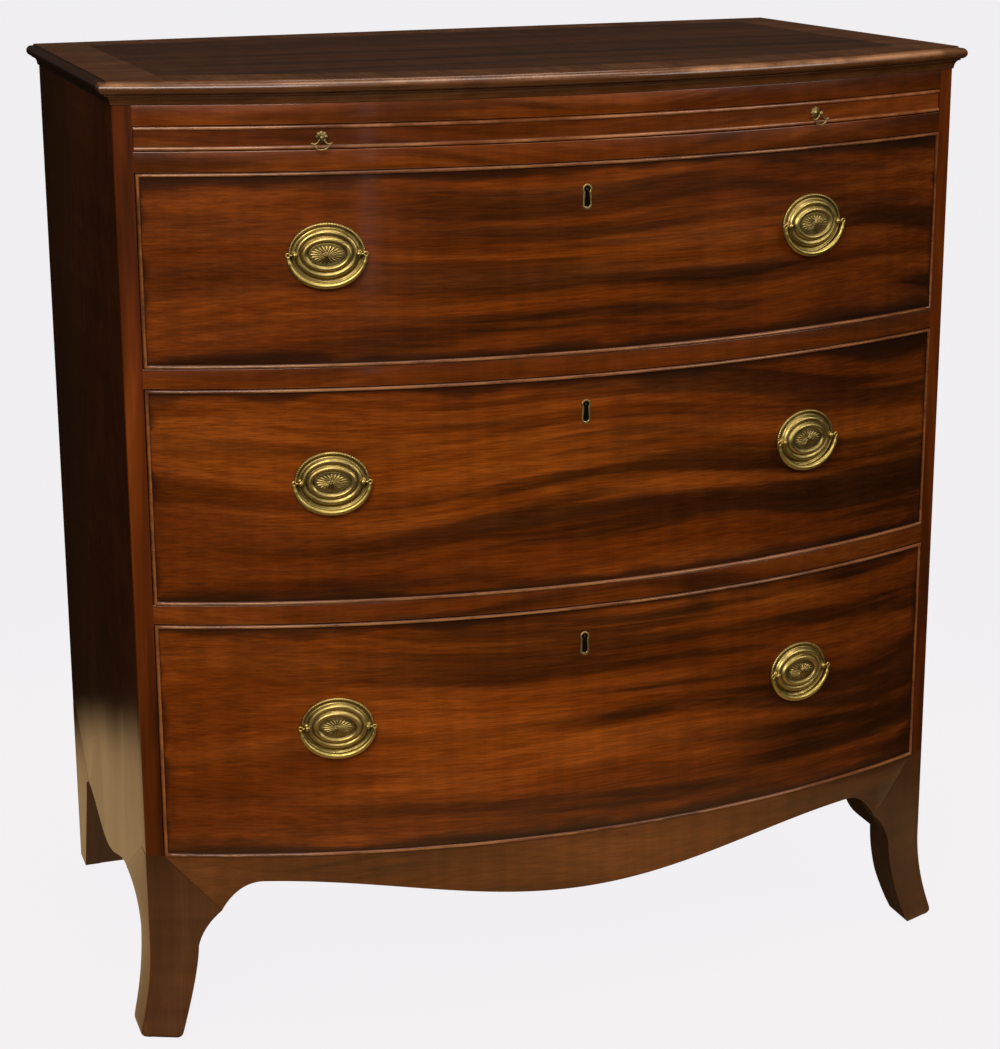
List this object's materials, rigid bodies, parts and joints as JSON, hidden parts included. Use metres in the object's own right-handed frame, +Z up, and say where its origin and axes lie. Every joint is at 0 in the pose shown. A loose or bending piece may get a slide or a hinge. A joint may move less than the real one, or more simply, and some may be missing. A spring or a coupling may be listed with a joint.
{
  "type": "bow front chest of drawers",
  "caption": "Bow-front mahogany chest of long cockbeaded drawers with a brushing slide, oval bail handles, moulded top and splayed bracket feet.",
  "frame": {"origin": "on the floor, under the middle of the chest's outside box", "axes": "+Z up, the bowed drawer fronts face -Y, +X is to the right of a person facing the drawers"},
  "size_m": [0.9204, 0.5806, 0.9875],
  "materials": {
    "mahogany": "polished figured mahogany",
    "mahogany_top": "polished dark mahogany",
    "mahogany_side": "polished dark mahogany",
    "mahogany_foot": "polished plain mahogany",
    "cockbead": "worn polished mahogany",
    "oak": "bare oak",
    "pine": "bare pine",
    "brass": "aged stamped brass"
  },
  "bodies": {
    "carcass": {"top": "mahogany_top", "side_left": "mahogany_side", "side_right": "mahogany_side", "back": "pine", "top_rail": "mahogany", "slide_frame": "mahogany", "drawer_rail_upper": "mahogany", "drawer_rail_lower": "mahogany", "dust_board_upper": "pine", "dust_board_lower": "pine", "bottom_board": "pine", "apron": "mahogany_foot", "foot_front_left": "mahogany_foot", "foot_front_right": "mahogany_foot", "foot_rear_left": "mahogany_foot", "foot_rear_right": "mahogany_foot"},
    "drawer_lower": {"drawer_lower_front": "mahogany", "drawer_lower_cockbead": "cockbead", "drawer_lower_side_left": "oak", "drawer_lower_side_right": "oak", "drawer_lower_back": "oak", "drawer_lower_bottom": "oak", "drawer_lower_lock": "brass", "drawer_lower_escutcheon": "brass", "drawer_lower_plate_left": "brass", "drawer_lower_plate_right": "brass"},
    "drawer_lower_bail_left": {"drawer_lower_bail_left": "brass"},
    "drawer_lower_bail_right": {"drawer_lower_bail_right": "brass"},
    "drawer_lower_lock_bolt": {"drawer_lower_lock_bolt": "brass"},
    "drawer_middle": {"drawer_middle_front": "mahogany", "drawer_middle_cockbead": "cockbead", "drawer_middle_side_left": "oak", "drawer_middle_side_right": "oak", "drawer_middle_back": "oak", "drawer_middle_bottom": "oak", "drawer_middle_lock": "brass", "drawer_middle_escutcheon": "brass", "drawer_middle_plate_left": "brass", "drawer_middle_plate_right": "brass"},
    "drawer_middle_bail_left": {"drawer_middle_bail_left": "brass"},
    "drawer_middle_bail_right": {"drawer_middle_bail_right": "brass"},
    "drawer_middle_lock_bolt": {"drawer_middle_lock_bolt": "brass"},
    "drawer_upper": {"drawer_upper_front": "mahogany", "drawer_upper_cockbead": "cockbead", "drawer_upper_side_left": "oak", "drawer_upper_side_right": "oak", "drawer_upper_back": "oak", "drawer_upper_bottom": "oak", "drawer_upper_lock": "brass", "drawer_upper_escutcheon": "brass", "drawer_upper_plate_left": "brass", "drawer_upper_plate_right": "brass"},
    "drawer_upper_bail_left": {"drawer_upper_bail_left": "brass"},
    "drawer_upper_bail_right": {"drawer_upper_bail_right": "brass"},
    "drawer_upper_lock_bolt": {"drawer_upper_lock_bolt": "brass"},
    "slide": {"brushing_slide": "mahogany", "slide_pull_left": "brass", "slide_pull_right": "brass"},
    "slide_ring_left": {"slide_ring_left": "brass"},
    "slide_ring_right": {"slide_ring_right": "brass"}
  },
  "joints": [
    {"name": "drawer_lower_slide", "type": "slide", "parent": "carcass", "child": "drawer_lower", "axis": [0, -1, 0], "range_m": [0, 0.33]},
    {"name": "drawer_lower_bail_left_hinge", "type": "hinge", "parent": "drawer_lower", "child": "drawer_lower_bail_left", "pos_m": [-0.25635, -0.25449, 0.3404], "axis": [-0.9744, 0.225, 0], "range_deg": [0, 165]},
    {"name": "drawer_lower_bail_right_hinge", "type": "hinge", "parent": "drawer_lower", "child": "drawer_lower_bail_right", "pos_m": [0.25635, -0.25449, 0.3404], "axis": [-0.9744, -0.225, 0], "range_deg": [0, 165]},
    {"name": "drawer_lower_lock_bolt_slide", "type": "slide", "parent": "drawer_lower", "child": "drawer_lower_lock_bolt", "axis": [0, 0, 1], "range_m": [0, 0.006]},
    {"name": "drawer_middle_slide", "type": "slide", "parent": "carcass", "child": "drawer_middle", "axis": [0, -1, 0], "range_m": [0, 0.33]},
    {"name": "drawer_middle_bail_left_hinge", "type": "hinge", "parent": "drawer_middle", "child": "drawer_middle_bail_left", "pos_m": [-0.25635, -0.25449, 0.5957], "axis": [-0.9744, 0.225, 0], "range_deg": [0, 165]},
    {"name": "drawer_middle_bail_right_hinge", "type": "hinge", "parent": "drawer_middle", "child": "drawer_middle_bail_right", "pos_m": [0.25635, -0.25449, 0.5957], "axis": [-0.9744, -0.225, 0], "range_deg": [0, 165]},
    {"name": "drawer_middle_lock_bolt_slide", "type": "slide", "parent": "drawer_middle", "child": "drawer_middle_lock_bolt", "axis": [0, 0, 1], "range_m": [0, 0.006]},
    {"name": "drawer_upper_slide", "type": "slide", "parent": "carcass", "child": "drawer_upper", "axis": [0, -1, 0], "range_m": [0, 0.33]},
    {"name": "drawer_upper_bail_left_hinge", "type": "hinge", "parent": "drawer_upper", "child": "drawer_upper_bail_left", "pos_m": [-0.25635, -0.25449, 0.8211], "axis": [-0.9744, 0.225, 0], "range_deg": [0, 165]},
    {"name": "drawer_upper_bail_right_hinge", "type": "hinge", "parent": "drawer_upper", "child": "drawer_upper_bail_right", "pos_m": [0.25635, -0.25449, 0.8211], "axis": [-0.9744, -0.225, 0], "range_deg": [0, 165]},
    {"name": "drawer_upper_lock_bolt_slide", "type": "slide", "parent": "drawer_upper", "child": "drawer_upper_lock_bolt", "axis": [0, 0, 1], "range_m": [0, 0.006]},
    {"name": "brushing_slide_slide", "type": "slide", "parent": "carcass", "child": "slide", "axis": [0, -1, 0], "range_m": [0, 0.28]},
    {"name": "slide_ring_left_hinge", "type": "hinge", "parent": "slide", "child": "slide_ring_left", "pos_m": [-0.25916, -0.25559, 0.93255], "axis": [-0.9739, 0.2271, 0], "range_deg": [0, 110]},
    {"name": "slide_ring_right_hinge", "type": "hinge", "parent": "slide", "child": "slide_ring_right", "pos_m": [0.25916, -0.25559, 0.93255], "axis": [-0.9739, -0.2271, 0], "range_deg": [0, 110]}
  ]
}
